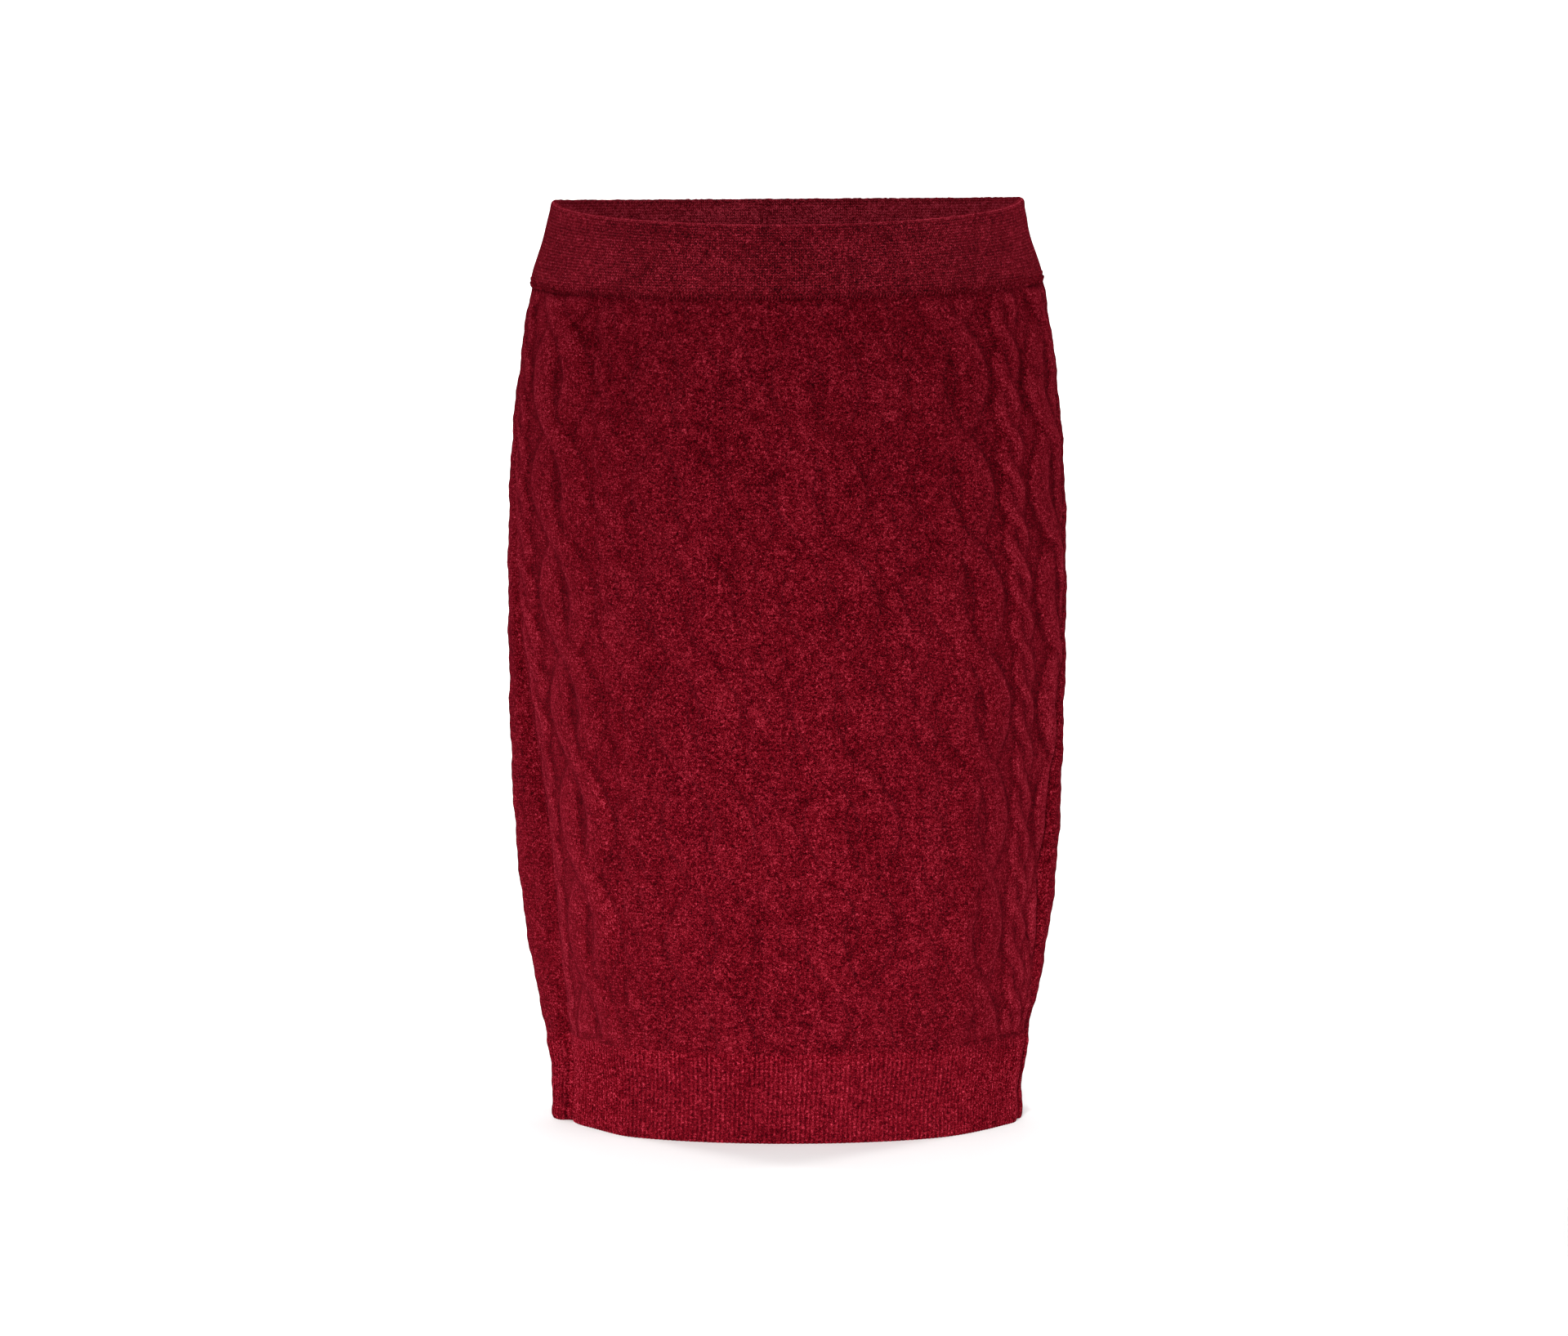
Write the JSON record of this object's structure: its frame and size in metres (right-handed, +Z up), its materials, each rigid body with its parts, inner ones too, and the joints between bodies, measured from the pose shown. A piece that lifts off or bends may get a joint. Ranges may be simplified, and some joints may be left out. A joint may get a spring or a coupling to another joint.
{
  "type": "knitted pencil skirt",
  "caption": "Knee-length knitted pencil skirt with a cable-knit front, plain back, ribbed hem and folded elastic waistband.",
  "frame": {"origin": "middle of the hem's bottom edge, on the surface that the skirt stands on", "axes": "+Z up from hem to waist, the wearer faces -Y, +X to the wearer's left"},
  "size_m": [0.342, 0.24, 0.561],
  "materials": {
    "cable_knit": "brushed melange wool blend, low cable relief",
    "jersey_knit": "brushed melange wool blend, plain",
    "rib_knit": "brushed melange wool blend, one by one rib",
    "band_knit": "fine plain knit, folded double",
    "elastic_webbing": "woven elastic",
    "linking_yarn": "twisted yarn",
    "sewing_thread": "polyester thread",
    "label_tape": "satin tape"
  },
  "bodies": {
    "skirt": {"front_panel": "cable_knit", "back_panel": "jersey_knit", "front_hem_rib": "rib_knit", "back_hem_rib": "rib_knit", "waistband_front": "band_knit", "waistband_back": "band_knit", "waist_elastic": "elastic_webbing", "elastic_join_stitches": "sewing_thread", "waist_linking_seam": "linking_yarn", "right_side_seam": "linking_yarn", "left_side_seam": "linking_yarn", "waistband_right_join": "linking_yarn", "waistband_left_join": "linking_yarn", "right_hem_bartack": "sewing_thread", "left_hem_bartack": "sewing_thread", "care_label_stitches": "sewing_thread"},
    "care_label": {"care_label": "label_tape"}
  },
  "joints": [
    {"name": "label_flip", "type": "hinge", "parent": "skirt", "child": "care_label", "pos_m": [0.15246, -0.02591, 0.322], "axis": [0, 0.1682, 0.9858], "range_deg": [-70, 70]}
  ]
}
